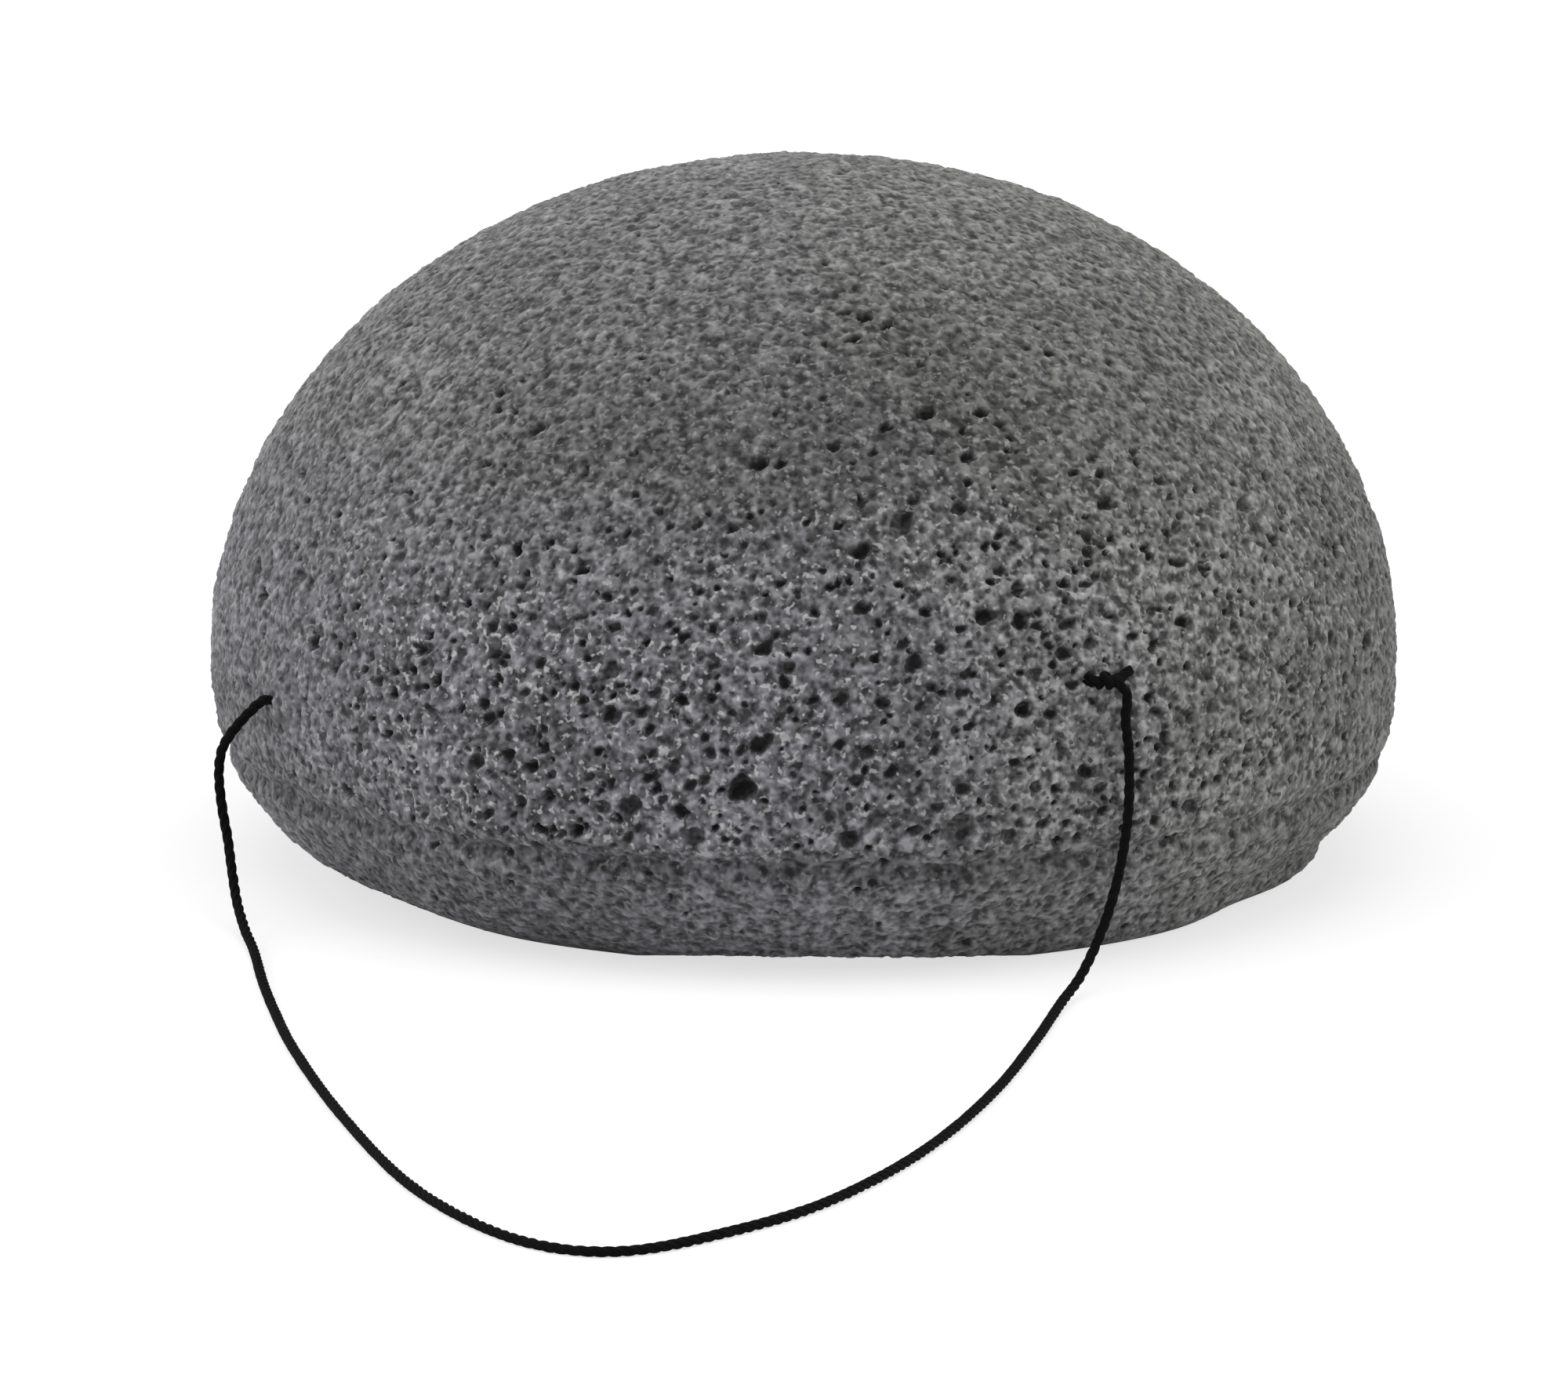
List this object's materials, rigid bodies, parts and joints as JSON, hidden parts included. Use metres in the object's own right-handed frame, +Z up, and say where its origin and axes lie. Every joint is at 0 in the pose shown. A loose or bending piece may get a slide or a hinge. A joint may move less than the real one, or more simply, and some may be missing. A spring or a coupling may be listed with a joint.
{
  "type": "konjac sponge",
  "caption": "Half-ball konjac cleansing sponge with a creased rim, a flat base and a knotted hanging loop of string.",
  "frame": {"origin": "middle of the sponge's flat base, on the surface that it stands on", "axes": "+Z up through the top of the dome; +X to the viewer's right; the string's loop lies out in front, towards -Y"},
  "size_m": [0.08, 0.1466, 0.0475],
  "materials": {
    "konjac_foam": "matte open-cell charcoal grey foam",
    "cotton_string": "matte twisted black cotton"
  },
  "bodies": {
    "foam": {"sponge": "konjac_foam", "knot": "cotton_string"},
    "string": {"threaded_string": "cotton_string", "string_loop": "cotton_string"}
  },
  "joints": [
    {"name": "loop_swing", "type": "hinge", "parent": "foam", "child": "string", "pos_m": [-0.00824, -0.02707, 0.0176], "axis": [-0.9574, 0.2755, -0.086], "range_deg": [0, 150]}
  ]
}
